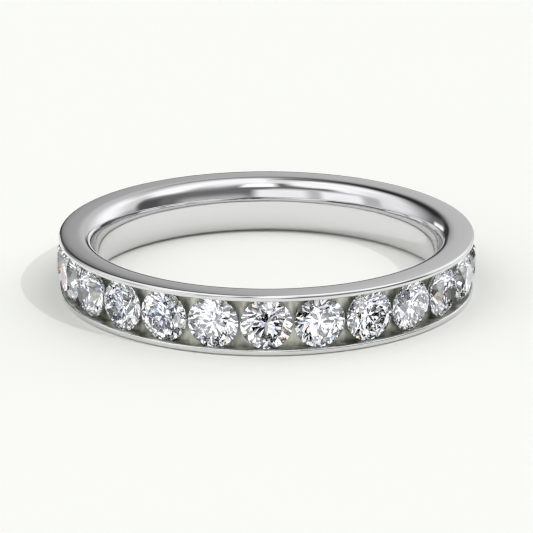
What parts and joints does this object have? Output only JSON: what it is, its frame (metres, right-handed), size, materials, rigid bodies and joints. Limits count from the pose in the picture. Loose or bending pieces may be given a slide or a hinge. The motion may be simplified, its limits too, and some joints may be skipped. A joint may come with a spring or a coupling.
{
  "type": "channel set band",
  "caption": "Polished ring lying on its side, with a full row of round brilliant-cut stones set in a channel between two rails, and a comfort-curved finger hole.",
  "frame": {"origin": "centre of the ring on the surface it rests on, in the plane of its lower side face", "axes": "+Z along the finger, up out of the resting side face; the first stone faces -Y"},
  "size_m": [0.0212, 0.0212, 0.0031],
  "materials": {
    "band_metal": "mirror-polished white precious metal, darker and satin inside the channel",
    "stone_clear": "clear, colourless, sharp polished facets"
  },
  "bodies": {
    "root": {"band": "band_metal", "stone_01": "stone_clear", "stone_02": "stone_clear", "stone_03": "stone_clear", "stone_04": "stone_clear", "stone_05": "stone_clear", "stone_06": "stone_clear", "stone_07": "stone_clear", "stone_08": "stone_clear", "stone_09": "stone_clear", "stone_10": "stone_clear", "stone_11": "stone_clear", "stone_12": "stone_clear", "stone_13": "stone_clear", "stone_14": "stone_clear", "stone_15": "stone_clear", "stone_16": "stone_clear", "stone_17": "stone_clear", "stone_18": "stone_clear", "stone_19": "stone_clear", "stone_20": "stone_clear", "stone_21": "stone_clear", "stone_22": "stone_clear", "stone_23": "stone_clear", "stone_24": "stone_clear", "stone_25": "stone_clear"}
  },
  "joints": []
}
